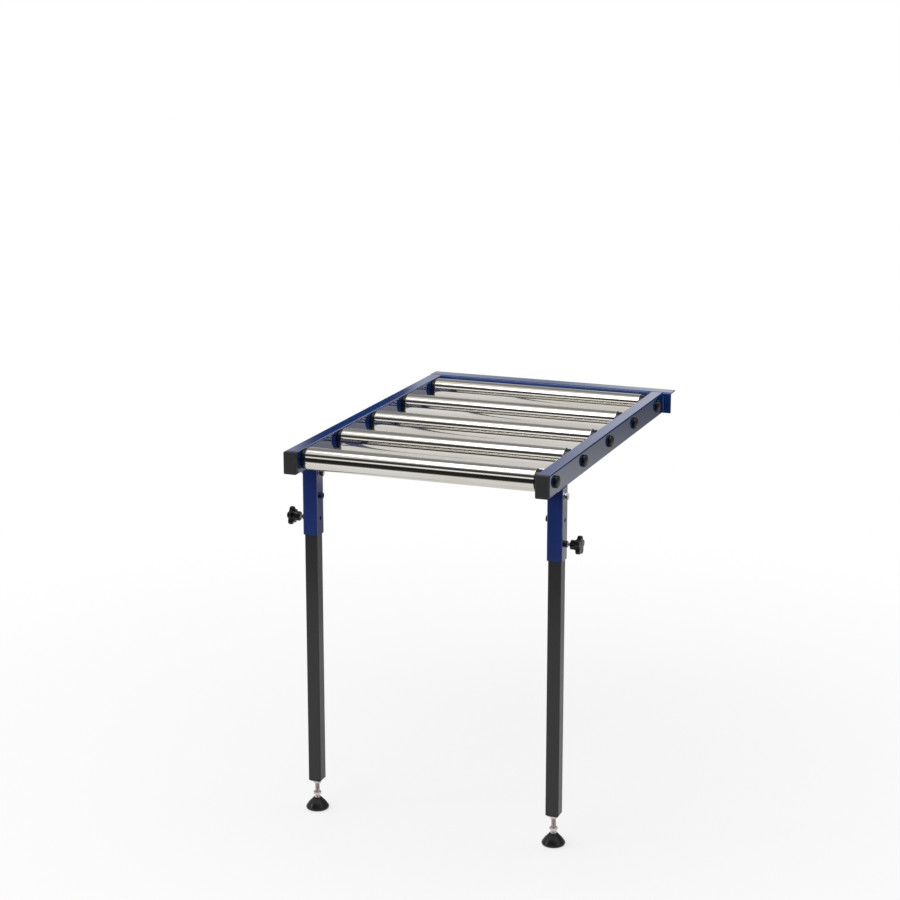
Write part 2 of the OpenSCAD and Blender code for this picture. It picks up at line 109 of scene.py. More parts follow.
class Shader:
    """The nodes of a material or of the world."""

    def __init__(self, owner):
        owner.use_nodes = True
        self.tree = owner.node_tree
        self.tree.nodes.clear()

    def node(self, kind, settings=None, inputs=None, output=0):
        """Makes one node: its settings first, then a value or a link for each socket."""
        made = self.tree.nodes.new("ShaderNode" + kind)
        for name, setting in (settings or {}).items():
            if name == "stops":
                while len(made.color_ramp.elements) < len(setting):
                    made.color_ramp.elements.new(1.0)
                for element, (place, level) in zip(made.color_ramp.elements, setting):
                    element.position = place
                    element.color = grey(level)
            else:
                setattr(made, name, setting)
        for name, value in (inputs or {}).items():
            if isinstance(value, Value):
                self.tree.links.new(value.socket, made.inputs[name])
            else:
                made.inputs[name].default_value = value
        return Value(self, made.outputs[output]) if made.outputs else None

    def parts(self, kind, names, inputs=None):
        """Several outputs of one new node."""
        outputs = self.node(kind, None, inputs).socket.node.outputs
        return [Value(self, outputs[name]) for name in names]

    def mix(self, factor, first, second):
        """Colour between two colours."""
        inputs = {0: factor, 6: first, 7: second}
        return self.node("Mix", {"data_type": "RGBA"}, inputs, output=2)

    def step(self, value, low, high):
        """Smooth step from 0 at low to 1 at high."""
        inputs = {"Value": value, "From Min": low, "From Max": high}
        return self.node("MapRange", {"interpolation_type": "SMOOTHSTEP"}, inputs)

    def span(self, value, rise, fall):
        """1 between two smooth edges, each given by where it begins and ends, and 0 outside."""
        return self.step(value, *rise) * self.step(value, fall[1], fall[0])

    def place(self):
        """Point of the piece in metres, in the table's own frame."""
        return self.node("TexCoord", output="Object")

    def noise(self, scale, detail, stretch=None, roughness=0.5):
        """Noise from 0 to 1, so many waves a metre. With stretch, each axis has its own scale."""
        where = self.place()
        if stretch:
            inputs = {0: where, 1: stretch}
            where = self.node("VectorMath", {"operation": "MULTIPLY"}, inputs)
        inputs = {"Vector": where, "Scale": scale, "Detail": detail, "Roughness": roughness}
        return self.node("TexNoise", None, inputs)


RAYS = ("Is Camera Ray", "Is Transmission Ray", "Is Glossy Ray")
WHITE = 1.0
DARK = 0.02
# Sky that lights the table: bright at the left, dim at the right and along the horizon.
SKY_LEFT = 0.92
SKY_RIGHT = 0.05
SKY_LOW = 0.04
# Mirrored room: its level from the front horizon (0) over the zenith (0.5) to the back one (1).
ROOM_BANDS = (
    (0.00, 0.012), (0.092, 0.015), (0.122, 1.00), (0.160, 1.00), (0.185, 0.03), (0.30, 0.04),
    (0.345, 0.70), (0.55, 0.75), (0.62, 0.26), (0.72, 0.20), (0.86, 0.34), (1.00, 0.62),
)
# Mirrored panels of the back wall's left half, low over the horizon: the X of the mirrored
# direction and the level there, from left to right.
WALL_PANELS = (
    (-0.450, 0.36), (-0.412, 0.47), (-0.4045, 0.01), (-0.369, 0.01), (-0.363, 0.62),
    (-0.330, 0.46), (-0.307, 0.34), (-0.285, 0.64), (-0.262, 0.85), (-0.200, 0.85),
    (-0.100, 0.02),
)
WALL_WIDTH = 0.5
# Mirrored dark screen behind the table, and the bright strip over it.
SCREEN = 0.015
STRIP = 0.95
# Floor: how far it reaches each way, its grey, the grey of its bounce, and what it mirrors near
# and far. It fades to white with the distance from the table, and its front end is dark in
# mirrors.
FLOOR_REACH = 90
FLOOR_GREY = 0.96
FLOOR_BOUNCE = 0.45
FLOOR_FADES = (0.3, 2.2)
FLOOR_LEAST = 0.66
NEAR_MIRRORED = 0.82
FAR_MIRRORED = 0.12
MIRROR_FADES = (1.6, 4.4)
FRONT_END = (-2.6, -1.6)
# Mirrored dark cloth on the floor, behind the table and at the right.
CLOTH = 0.24
CLOTH_SLANT = 0.39

world = bpy.context.scene.world or bpy.data.worlds.new("studio")
bpy.context.scene.world = world
sky = Shader(world)
seen, through, mirrored = sky.parts("LightPath", RAYS)
towards = sky.node("TexCoord", output="Generated")
right, back, over = sky.parts("SeparateXYZ", "XYZ", {0: towards})
turn = over.math("ARCTAN2", over, 0.0 - back) / math.pi
room = sky.node("ValToRGB", {"stops": ROOM_BANDS}, {0: turn})
stops = [((x + WALL_WIDTH) / WALL_WIDTH, level) for x, level in WALL_PANELS]
wall = sky.node("ValToRGB", {"stops": stops}, {0: (right + WALL_WIDTH) / WALL_WIDTH})
behind = sky.step(back, 0.6, 0.8)
panels = behind * sky.step(right, -0.10, -0.14) * sky.span(over, (0.12, 0.18), (0.28, 0.36))
room = sky.mix(panels, room, wall)
screen = behind * sky.span(right, (-0.14, -0.06), (0.45, 0.55))
screen = screen * sky.span(over, (0.01, 0.05), (0.35, 0.38))
room = sky.mix(screen, room, grey(SCREEN))
strip = behind * sky.span(right, (-0.22, -0.14), (0.30, 0.40))
strip = strip * sky.span(over, (0.36, 0.39), (0.50, 0.56))
room = sky.mix(strip, room, grey(STRIP))
soft = sky.mix(sky.step(right, -0.3, 0.9), grey(SKY_LEFT), grey(SKY_RIGHT))
soft = sky.mix(sky.step(over, 0.0, 0.5), grey(SKY_LOW), soft)
light = sky.mix(mirrored, soft, room)
light = sky.mix(seen.most(through), light, grey(WHITE))
sky.node("OutputWorld", None, {0: sky.node("Background", None, {0: light})})

floor_mesh = bpy.data.meshes.new("floor")
signs = ((-1, -1), (1, -1), (1, 1), (-1, 1))
corners = [(x * FLOOR_REACH, y * FLOOR_REACH, 0) for x, y in signs]
floor_mesh.from_pydata(corners, [], [(0, 1, 2, 3)])
floor = bpy.data.objects.new("floor", floor_mesh)
bpy.context.scene.collection.objects.link(floor)
paper = bpy.data.materials.new("pale paper")
floor_mesh.materials.append(paper)
sweep = Shader(paper)
seen, through, mirrored = sweep.parts("LightPath", RAYS)
spot = sweep.place()
x_spot, y_spot = sweep.parts("SeparateXYZ", "XY", {0: spot})
length = sweep.node("VectorMath", {"operation": "LENGTH"}, {0: spot}, output="Value")
far = FLOOR_LEAST + (1.0 - FLOOR_LEAST) * sweep.step(length, *FLOOR_FADES)
lit = 1.0 - mirrored * (1.0 - sweep.step(y_spot, *FRONT_END))
paper_colour = sweep.mix(seen, grey(FLOOR_BOUNCE), grey(FLOOR_GREY))
paper_colour = sweep.mix(lit, grey(DARK), paper_colour)
matte = sweep.node("BsdfDiffuse", None, {"Color": paper_colour})
image = sweep.mix(sweep.step(y_spot, *MIRROR_FADES), grey(NEAR_MIRRORED), grey(FAR_MIRRORED))
aside = x_spot - CLOTH_SLANT * y_spot
cloth = sweep.span(aside, (-0.25, -0.15), (0.08, 0.40))
cloth = cloth * sweep.span(y_spot, (0.75, 1.05), (2.25, 2.5))
image = sweep.mix(cloth, image, grey(CLOTH))
image = sweep.mix(mirrored, grey(WHITE), image)
glow = sweep.node("Emission", None, {"Color": sweep.mix(lit, grey(DARK), image)})
shown = seen.most(through).most(mirrored)
surface = sweep.node("MixShader", None, {0: far * shown, 1: matte, 2: glow})
sweep.node("OutputMaterial", None, {0: surface})


def softbox(name, place, aim, size, radiance, mirrored=True):
    """Flat lamp that faces a point: its watts are radiance times pi times its area. With
    mirrored off it lights the table but doesn't show in chrome or enamel."""
    lamp = bpy.data.lights.new(name, "AREA")
    lamp.shape = "RECTANGLE"
    lamp.size, lamp.size_y = size
    lamp.energy = radiance * math.pi * size[0] * size[1]
    holder = bpy.data.objects.new(name, lamp)
    bpy.context.scene.collection.objects.link(holder)
    holder.location = place
    away = holder.location - Matrix.Translation(aim).translation
    holder.rotation_euler = away.to_track_quat("Z", "Y").to_euler()
    holder.visible_glossy = mirrored


softbox("softbox over the table", (0.1, -0.15, 3.1), (0.0, 0.0, 0.8), (2.9, 1.25), 2.0)
softbox(
    "softbox in front", (-1.2, -4.2, 2.6), (0.0, 0.0, 0.6), (2.4, 0.7), 5.2, mirrored=False
)
softbox("softbox at the left", (-3.6, -2.4, 2.5), (0.0, -0.3, 0.6), (0.8, 0.8), 5.0)


# Side rails, hook angle, leg sockets and their stubs: rectangular steel tube and bent sheet in
# gloss navy enamel. The enamel has orange peel, and fine scuffs along the tops, where long stock
# slides. The weld nuts are given a darker navy colour.
NAVY = (0.004, 0.048, 0.240, 1.0)
NAVY_DEEP = (0.003, 0.034, 0.180, 1.0)
SOCKET_NAVY = (0.023, 0.052, 0.245, 1.0)
SOCKET_DEEP = (0.018, 0.040, 0.185, 1.0)
NUT_NAVY = (0.008, 0.012, 0.090, 1.0)
NAVY_SCUFF = (0.040, 0.085, 0.25, 1.0)
# Heights between which the sockets' paint gives way to the rails', and the scuffs begin.
SOCKET_TOP = (0.8085, 0.8105)
RAIL_TOP = (0.8575, 0.8596)


def new_shader(name):
    """A new material and its shader."""
    material = bpy.data.materials.new(name)
    return material, Shader(material)


def finish_surface(shader, colour, roughness, bump, **even):
    """Ends a material: what varies is linked, and what is the same all over is set as it is."""
    inputs = {"Base Color": colour, "Roughness": roughness, "Normal": bump}
    inputs.update({name.replace("_", " ").title(): value for name, value in even.items()})
    inputs["IOR"] = inputs.pop("Ior", 1.5)
    surface = shader.node("BsdfPrincipled", None, inputs)
    shader.node("OutputMaterial", None, {0: surface})


def relief(shader, height, depth, under=None):
    """Bump of a given depth in metres, over another bump."""
    inputs = {"Strength": 1.0, "Distance": depth, "Height": height}
    if under:
        inputs["Normal"] = under
    return shader.node("Bump", None, inputs)


def dress(material, *nodes):
    """Gives CAD nodes a material."""
    for name in nodes:
        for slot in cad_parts[name].material_slots:
            slot.material = material


enamel, shader = new_shader("navy gloss enamel")
cloud = shader.noise(9.0, 3.0)
peel = shader.noise(420.0, 2.0)
wave = shader.noise(38.0, 1.0)
scuff = shader.noise(1.0, 4.0, (520.0, 9.0, 520.0), 0.65)
height = shader.node("SeparateXYZ", None, {0: shader.place()}, output="Z")
worn = shader.step(scuff, 0.60, 0.72) * shader.step(height, *RAIL_TOP)
blotch = shader.step(cloud, 0.35, 0.7)
rail_colour = shader.mix(blotch, NAVY, NAVY_DEEP)
socket_colour = shader.mix(blotch, SOCKET_NAVY, SOCKET_DEEP)
colour = shader.mix(shader.step(height, *SOCKET_TOP), socket_colour, rail_colour)
colour = shader.mix(worn * 0.35, colour, NAVY_SCUFF)
bump = relief(shader, wave, 2e-5)
bump = relief(shader, peel, 3e-6, bump)
finish_surface(
    shader, colour, 0.08 + 0.05 * cloud + 0.22 * worn, bump,
    coat_weight=0.7, coat_roughness=0.03,
)
dress(
    enamel, "left_rail", "right_rail", "hook_angle", "left_socket", "right_socket",
    "left_leg_stub", "right_leg_stub",
)

# Weld nuts: a plain darker navy colour. No thinner enamel and no oxide under it are modelled.
nut_enamel, shader = new_shader("dark navy enamel on the weld nuts")
peel = shader.noise(420.0, 2.0)
finish_surface(
    shader, shader.mix(peel, NUT_NAVY, grey(0.006)), 0.26 + 0.1 * peel,
    relief(shader, peel, 6e-6), ior=1.4,
)
dress(nut_enamel, "left_weld_nuts", "right_weld_nuts")


# Rollers: drawn steel tube, turned and chromed, with the edges broken. A plastic cap plugs each
# end, holds a sealed ball bearing and fills the gap to the rail with its lip.
ROLLERS = 5
ROUND_STEPS = 192
TUBE_WALL = 0.0015
TUBE_EDGE = 0.0022
CHROME = (0.92, 0.90, 0.855, 1.0)
CHROME_WARM = (0.79, 0.745, 0.67, 1.0)
CAP_BLACK = (0.007, 0.008, 0.012, 1.0)
# End cap: its insert in the tube, the bearing's pocket, the lip outside the tube, and the groove in
# the lip's face, with its outer and inner radius at the face and at the bottom.
CAP_FIT = 0.00005
CAP_EDGE = 0.0009
INSERT_DEPTH = 0.016
POCKET_DEPTH = 0.008
POCKET_R = 0.014
LIP_R = 0.023
GROOVE_DEPTH = 0.0025
GROOVE_TOP_R = (0.0190, 0.0105)
GROOVE_BOTTOM_R = (0.0188, 0.0106)
SHAFT_HOLE_R = 0.0075


def rounded(corners, radius, steps=4):
    """Profile with its corners rounded: each corner is a quadratic curve that starts and ends the
    radius away from it, or half the side where a side is short. Ends stay where they are."""
    corners = np.array(corners, float)
    before, at, after = corners[:-2], corners[1:-1], corners[2:]
    back = np.linalg.norm(before - at, axis=1)[:, None]
    on = np.linalg.norm(after - at, axis=1)[:, None]
    start = at + (before - at) / back * np.minimum(radius, 0.5 * back)
    stop = at + (after - at) / on * np.minimum(radius, 0.5 * on)
    t = np.linspace(0.0, 1.0, steps + 1)[None, :, None]
    bends = (1 - t) ** 2 * start[:, None] + 2 * t * (1 - t) * at[:, None] + t**2 * stop[:, None]
    return np.vstack([corners[:1], bends.reshape(-1, 2), corners[-1:]])


def around_x(profile, centre, side=1.0, steps=ROUND_STEPS):
    """Surface of revolution: a point of the profile (along, radius) goes round the X axis through
    the centre, so x = side * along, y = radius * cos, z = radius * sin. Rows are profile points."""
    angle = np.linspace(0.0, 2 * math.pi, steps, endpoint=False)[None, :]
    along, radius = np.array(profile, float).T[:, :, None]
    rows = [side * along + 0 * angle, radius * np.cos(angle), radius * np.sin(angle)]
    return np.stack(rows, axis=2) + np.array(centre)


def piece(name, grids, body, material, replaced=(), sharp=40.0):
    """One smooth mesh from grids of points, each grid a closed shell that is round along its
    columns. Points that fall together are merged, which closes poles and seams, and the faces are
    turned outwards. The piece rides on a body, and stands for the CAD nodes it replaces."""
    points, faces, count = [], [], 0
    for grid in grids:
        rows, columns = grid.shape[:2]
        index = count + np.arange(rows * columns).reshape(rows, columns)
        right = np.roll(index, -1, axis=1)
        quads = np.stack([index[:-1], right[:-1], right[1:], index[1:]], axis=2)
        faces.append(quads.reshape(-1, 4))
        points.append(grid.reshape(-1, 3))
        count += rows * columns
    mesh = bpy.data.meshes.new(name)
    mesh.from_pydata(np.vstack(points).tolist(), [], np.vstack(faces).tolist())
    work = bmesh.new()
    work.from_mesh(mesh)
    bmesh.ops.remove_doubles(work, verts=work.verts, dist=2e-6)
    bmesh.ops.recalc_face_normals(work, faces=work.faces)
    work.to_mesh(mesh)
    work.free()
    mesh.shade_smooth()
    mesh.set_sharp_from_angle(angle=math.radians(sharp))
    mesh.materials.append(material)
    made = bpy.data.objects.new(name, mesh)
    bpy.context.scene.collection.objects.link(made)
    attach(made, body)
    if replaced:
        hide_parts(*replaced)


def limits(node):
    """Low and high corner of a CAD node's box."""
    return [np.array(corner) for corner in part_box(node)]


def middle(node):
    """Middle and half size of a CAD node's box."""
    low, high = limits(node)
    return (low + high) / 2, (high - low) / 2


chrome, shader = new_shader("polished chrome")
drawn = shader.noise(1.0, 2.0, (0.7, 170.0, 170.0), 0.4)
streak = shader.noise(1.0, 3.0, (2.0, 420.0, 420.0), 0.6)
cloud = shader.noise(9.0, 2.0)
finish_surface(
    shader, shader.mix(shader.step(streak + 0.3 * cloud, 0.48, 0.85), CHROME, CHROME_WARM),
    0.055 + 0.025 * cloud + 0.04 * streak, relief(shader, drawn, 1.6e-6), metallic=1.0,
)

cap_plastic, shader = new_shader("black roller cap plastic")
grain = shader.noise(2600.0, 2.0)
cloud = shader.noise(60.0, 2.0)
finish_surface(
    shader, shader.mix(cloud, CAP_BLACK, grey(0.014)), 0.13 + 0.10 * cloud,
    relief(shader, grain, 6e-6),
)

bearing_steel, shader = new_shader("ground bearing steel")
turned_marks = shader.noise(1.0, 2.0, (60.0, 2400.0, 2400.0))
finish_surface(
    shader, grey(0.56), 0.22 + 0.14 * turned_marks, relief(shader, turned_marks, 2e-6), metallic=1.0
)

shaft_steel, shader = new_shader("cold drawn shaft steel")
drawn = shader.noise(1.0, 3.0, (4.0, 900.0, 900.0))
finish_surface(
    shader, grey(0.42), 0.28 + 0.18 * drawn, relief(shader, drawn, 6e-6), metallic=1.0
)

for number in range(1, ROLLERS + 1):
    body = f"roller_{number}"
    centre, half = middle(f"{body}_tube")
    reach, radius = half[0], half[2]
    bore = radius - TUBE_WALL
    profile = rounded([
        (0.0, bore), (-reach, bore), (-reach, radius), (0.0, radius), (reach, radius),
        (reach, bore), (0.0, bore),
    ], TUBE_EDGE)
    piece(
        f"chromed_tube_{number}", [around_x(profile, centre)], body, chrome,
        [f"{body}_tube"],
    )
    plug_r = bore - CAP_FIT
    lip = middle(f"{body}_end_caps")[1][0] - reach
    groove = lip - GROOVE_DEPTH
    profile = rounded([
        (-POCKET_DEPTH, POCKET_R), (-INSERT_DEPTH, POCKET_R),
        (-INSERT_DEPTH, plug_r), (0.0, plug_r), (0.0, LIP_R), (lip, LIP_R),
        (lip, GROOVE_TOP_R[0]), (groove, GROOVE_BOTTOM_R[0]),
        (groove, GROOVE_BOTTOM_R[1]), (lip, GROOVE_TOP_R[1]),
        (lip, SHAFT_HOLE_R), (-POCKET_DEPTH, SHAFT_HOLE_R), (-POCKET_DEPTH, POCKET_R),
    ], CAP_EDGE)
    caps = [around_x(profile, centre + [side * reach, 0, 0], side) for side in (-1, 1)]
    piece(
        f"roller_caps_{number}", caps, body, cap_plastic, [f"{body}_end_caps"]
    )
    dress(bearing_steel, f"{body}_bearings")
    dress(shaft_steel, f"{body}_shaft")


# Rail plugs and caps: injection-moulded black plastic. The round plugs snap over the wrench holes
# and have a domed head; the caps push into the front end of each rail on three ribs.
#
# Plug: its stem in the hole with a barb round it, and its head with a rim and a dome.
STEM_DEPTH = 0.006
STEM_FLAT_R = 0.0094
STEM_R = 0.0109
BARB = ((-0.0035, STEM_R), (-0.003, 0.0114), (-0.0025, STEM_R))
PLUG_HEAD = 0.0085
PLUG_RIM = 0.0056
PLUG_R = 0.0135
PLUG_EDGE = 0.0018
# Cap: its head over the rail's end, and its hollow core in the rail, which carries the ribs.
CAP_HEAD = 0.010
CAP_DEPTH = 0.016
FACE_EDGE = 0.0016
BACK_EDGE = 0.0004
CORNER_R = 0.003
CORNER_STEPS = 8
RAIL_CLEAR = 0.0041
CORE_WALL = 0.002
CORE_R = 0.001
RIBS = 3
RIB_H = 0.0012
RIB_T = 0.0015
RIB_SLOPE = 0.0004

rail_plastic, shader = new_shader("charcoal moulded plastic")
grain = shader.noise(1500.0, 3.0, roughness=0.6)
flow = shader.noise(22.0, 2.0)
dust = shader.step(shader.noise(900.0, 2.0), 0.62, 0.75)
colour = shader.mix(flow, grey(0.026), grey(0.038))
finish_surface(
    shader, shader.mix(dust * 0.35, colour, grey(0.09)), 0.42 + 0.2 * flow,
    relief(shader, grain, 9e-5),
)

plug_plastic, shader = new_shader("black plug plastic")
grain = shader.noise(2200.0, 2.0)
flow = shader.noise(40.0, 2.0)
finish_surface(
    shader, shader.mix(flow, grey(0.005), grey(0.012)), 0.24 + 0.12 * flow,
    relief(shader, grain, 1.4e-5), ior=1.42,
)

profile = rounded([
    (-STEM_DEPTH, 0.0), (-STEM_DEPTH, STEM_FLAT_R), (-STEM_DEPTH, STEM_R), *BARB,
    (0.0, STEM_R), (0.0, PLUG_R), (PLUG_RIM, PLUG_R),
    (PLUG_HEAD * 0.93, PLUG_R * 0.62), (PLUG_HEAD, PLUG_R * 0.25), (PLUG_HEAD, 0.0),
], PLUG_EDGE, steps=6)
for side, hand in SIDES:
    outer = limits(f"{hand}_rail")[side > 0][0]
    plugs = []
    for number in range(1, ROLLERS + 1):
        centre = middle(f"roller_{number}_tube")[0]
        centre[0] = outer
        plugs.append(around_x(profile, centre, side, steps=72))
    piece(
        f"rail_plugs_{hand}", plugs, "root", plug_plastic,
        [f"{hand}_hole_plugs"],
    )


def rectangle_ring(width, height, radius):
    """Points round a rectangle with round corners: a quarter circle about each corner's centre,
    joined by its straight sides."""
    radius = min(radius, width / 2, height / 2)
    quarter = np.linspace(0.0, math.pi / 2, CORNER_STEPS)
    angle = (np.arange(4)[:, None] * math.pi / 2 + quarter[None, :]).ravel()
    signs = np.repeat([[1, 1], [-1, 1], [-1, -1], [1, -1]], CORNER_STEPS, axis=0)
    centre = signs * np.array([width / 2 - radius, height / 2 - radius])
    return centre + radius * np.stack([np.cos(angle), np.sin(angle)], axis=1)


def lofted(rings, x, front, z):
    """Rows of rings about a line along +Y: each is a rounded rectangle (width, height, corner) at
    its own depth behind the front."""
    rows = []
    for width, height, radius, depth in rings:
        across, up = rectangle_ring(width, height, radius).T
        rows.append(np.stack([x + across, 0 * across + front + depth, z + up], axis=1))
    return np.stack(rows)


for hand in ("left", "right"):
    low, high = limits(f"{hand}_rail_cap")
    mid = (low + high) / 2
    width, height = high[0] - low[0], high[2] - low[2]
    rings = [(0.0, 0.0, 0.0, 0.0004), (width * 0.35, height * 0.5, 0.004, 0.0003)]
    for bend in np.linspace(0.0, math.pi / 2, 6):
        inset = FACE_EDGE * (1 - math.sin(bend))
        rings.append((
            width - 2 * inset, height - 2 * inset, CORNER_R - inset / 2,
            FACE_EDGE * (1 - math.cos(bend)),
        ))
    rings += [(width, height, CORNER_R, CAP_HEAD - BACK_EDGE)]
    rings += [(width - 2 * BACK_EDGE, height - 2 * BACK_EDGE, CORNER_R - BACK_EDGE, CAP_HEAD)]
    inner = (width - RAIL_CLEAR, height - RAIL_CLEAR, CORE_R)
    core = (inner[0] - 2 * RIB_H, inner[1] - 2 * RIB_H, CORE_R)
    hollow = (core[0] - 2 * CORE_WALL, core[1] - 2 * CORE_WALL, CORE_R)
    rings += [(*core, CAP_HEAD)]
    for rib in range(1, RIBS + 1):
        at = CAP_HEAD + rib * (CAP_DEPTH - RIB_T) / RIBS
        rings += [(*core, at), (*inner, at + RIB_SLOPE)]
        rings += [(*inner, at + RIB_T - RIB_SLOPE), (*core, at + RIB_T)]
    rings += [(*hollow, CAP_HEAD + CAP_DEPTH), (*hollow, CAP_HEAD), (0.0, 0.0, 0.0, CAP_HEAD)]
    cap = lofted(rings, mid[0], low[1], mid[2])
    piece(
        f"rail_end_{hand}", [cap], "root", rail_plastic,
        [f"{hand}_rail_cap"],
    )


# Fasteners: zinc-plated bolts, washers and nuts. The fixing bolt's head is plated bright, and its
# nut on the inner side is left dark.
zinc, shader = new_shader("zinc plating")
spangle = shader.noise(260.0, 3.0)
cloud = shader.noise(45.0, 3.0)
finish_surface(
    shader, shader.mix(cloud, (0.62, 0.61, 0.59, 1.0), (0.50, 0.48, 0.44, 1.0)),
    0.24 + 0.22 * spangle, relief(shader, spangle, 1.2e-5), metallic=1.0,
)

bright, shader = new_shader("bright zinc plating")
spangle = shader.noise(340.0, 3.0)
finish_surface(
    shader, shader.mix(spangle, grey(0.86), grey(0.66)),
    0.10 + 0.16 * spangle, relief(shader, spangle, 1.5e-5), metallic=1.0,
)

oxide, shader = new_shader("dark oxide steel")
spangle = shader.noise(300.0, 3.0)
finish_surface(
    shader, shader.mix(spangle, grey(0.10), grey(0.035)), 0.35 + 0.2 * spangle,
    relief(shader, spangle, 1.2e-5), metallic=1.0,
)

for hand in ("left", "right"):
    dress(zinc, f"{hand}_roller_bolts", f"{hand}_roller_washers")
    dress(bright, f"{hand}_fixing_bolt", f"{hand}_fixing_washers")
    dress(oxide, f"{hand}_fixing_nut")


# Clamping studs and foot studs: rolled threads on bright steel, the first M8 and the second M10.
#
# Thread of each: its radius, pitch, depth, the chamfer at both ends, and the points round it.
CLAMP_THREAD = (0.004, 0.00125, 0.0007, 0.0008, 28)
FOOT_THREAD = (0.005, 0.0015, 0.0009, 0.001, 32)
ROWS_A_TURN = 7


def threaded(length, radius, pitch, depth, chamfer, columns):
    """Threaded rod along +Z from 0: the radius falls by the depth in a wave that climbs a pitch
    for each turn, and by a chamfer at both ends."""
    rows = int(length / pitch * ROWS_A_TURN)
    z = np.linspace(0.0, length, rows)[:, None]
    angle = np.linspace(0.0, 2 * math.pi, columns, endpoint=False)[None, :]
    phase = (z / pitch - angle / (2 * math.pi)) % 1.0
    groove = np.clip(2.4 * np.abs(phase - 0.5) - 0.1, 0.0, 1.0)
    r = radius - depth * groove
    to_end = np.minimum(z, length - z)
    r = np.minimum(r, radius - chamfer + to_end)
    z = z + 0 * angle
    body = np.stack([r * np.cos(angle), r * np.sin(angle), z], axis=2)
    ends = np.zeros((2, 1, 3)) + np.array([[[0, 0, 0]], [[0, 0, length]]])
    ends = np.repeat(ends, columns, axis=1)
    return np.concatenate([ends[:1], body, ends[1:]])


stud_steel, shader = new_shader("bright thread steel")
cloud = shader.noise(90.0, 3.0)
fine = shader.noise(1500.0, 2.0)
finish_surface(
    shader, shader.mix(cloud, (0.76, 0.70, 0.66, 1.0), (0.60, 0.53, 0.50, 1.0)),
    0.22 + 0.16 * cloud, relief(shader, fine, 4e-6), metallic=1.0,
)

for side, hand in SIDES:
    low, high = limits(f"{hand}_clamp_stud")
    rod = threaded(high[0] - low[0], *CLAMP_THREAD)
    rod = np.stack([rod[..., 2], rod[..., 0], rod[..., 1]], axis=2)
    start = low if side > 0 else np.array([high[0], low[1], low[2]])
    rod[..., 0] *= side
    rod += np.array([start[0], (low[1] + high[1]) / 2, (low[2] + high[2]) / 2])
    piece(
        f"clamp_thread_{hand}", [rod], f"{hand}_clamp_stud", stud_steel,
        [f"{hand}_clamp_stud"], sharp=60.0,
    )


# Star knobs: glass-filled black plastic, moulded round a threaded insert, with five round lobes, a
# hub that flares into the grip, and a slightly domed face.
STAR_R = 0.021
LOBES = 5
LOBE_R = 0.0071
FLUTE_R = 0.0050
HUB_R = 0.0105
HUB_L = 0.014
HUB_EDGE = 0.0008
GRIP_T = 0.010
GRIP_BACK_EDGE = 0.0026
GRIP_FACE_EDGE = 0.0024
FACE_R = 0.0185
DOME_R = 0.0096
DOME_H = 0.001
KNOB_STEPS = 240
KNOB_TURNS = (0.0, math.radians(9))


def star_radius(angle, turn):
    """Radius of the star's outline at each angle. Near a lobe's axis it lies on the lobe's circle,
    and between lobes on the hollow's circle, which touches both lobes."""
    half_step = math.pi / LOBES
    lobe_at = STAR_R - LOBE_R
    rise = lobe_at * math.sin(half_step)
    flute_at = lobe_at * math.cos(half_step) + math.sqrt((LOBE_R + FLUTE_R) ** 2 - rise**2)
    touch = np.array([lobe_at, 0.0]) * FLUTE_R
    touch += flute_at * LOBE_R * np.array([math.cos(half_step), math.sin(half_step)])
    touch /= LOBE_R + FLUTE_R
    swing = np.abs((angle - turn + half_step) % (2 * half_step) - half_step)
    on_lobe = lobe_at * np.cos(swing) + np.sqrt(
        np.maximum(LOBE_R**2 - (lobe_at * np.sin(swing)) ** 2, 0.0)
    )
    off = half_step - swing
    on_flute = flute_at * np.cos(off) - np.sqrt(
        np.maximum(FLUTE_R**2 - (flute_at * np.sin(off)) ** 2, 0.0)
    )
    return np.where(swing < math.atan2(touch[1], touch[0]), on_lobe, on_flute)


def star_knob(turn):
    """Knob along +X from its hub: each row has a height, its share of star against circle, the
    circle's radius, and how far it lies inside the star. Over the face the rows shrink from the
    star to circles and rise to a dome."""
    angle = np.linspace(0.0, 2 * math.pi, KNOB_STEPS, endpoint=False)[None, :]
    star = star_radius(angle, turn)
    bends = [(1 - math.cos(a), 1 - math.sin(a)) for a in np.linspace(0.0, math.pi / 2, 7)]
    top = HUB_L + GRIP_T
    rows = [(0.0, 0.0, 0.0, 0.0), (0.0, 0.0, HUB_R - HUB_EDGE, 0.0)]
    rows += [(HUB_EDGE * on, 0.0, HUB_R - HUB_EDGE * off, 0.0) for on, off in bends]
    rows += [
        (HUB_L * 0.55, 0.0, HUB_R, 0.0),
        (HUB_L * 0.75, 0.04, HUB_R + 0.0006, GRIP_BACK_EDGE),
        (HUB_L * 0.92, 0.28, HUB_R + 0.002, GRIP_BACK_EDGE),
        (HUB_L + 0.0002, 0.72, 0.0135, GRIP_BACK_EDGE),
    ]
    rows += [(HUB_L + GRIP_BACK_EDGE * on, 1.0, 0.0, GRIP_BACK_EDGE * off) for on, off in bends]
    rows += [(top - GRIP_FACE_EDGE * off, 1.0, 0.0, GRIP_FACE_EDGE * on) for on, off in bends]
    grid = [
        (height, (1 - share) * circle + share * (star - inset))
        for height, share, circle, inset in rows
    ]
    rim = star - GRIP_FACE_EDGE
    for share in (0.85, 0.7, 0.56, 0.52, 0.48, 0.36, 0.24, 0.12, 0.0):
        round_r = FACE_R * share
        soft = min(1.0, max(0.0, (share - 0.5) / 0.5))
        radius = (1 - soft) * round_r + soft * rim * share
        rise = DOME_H * (1 - (min(round_r, DOME_R) / DOME_R) ** 2)
        grid.append((top + rise, radius))
    heights = np.array([height for height, _ in grid])[:, None]
    radii = np.vstack([radius for _, radius in grid])
    rows = [heights + 0 * angle, radii * np.cos(angle), radii * np.sin(angle)]
    return np.stack(rows, axis=2)


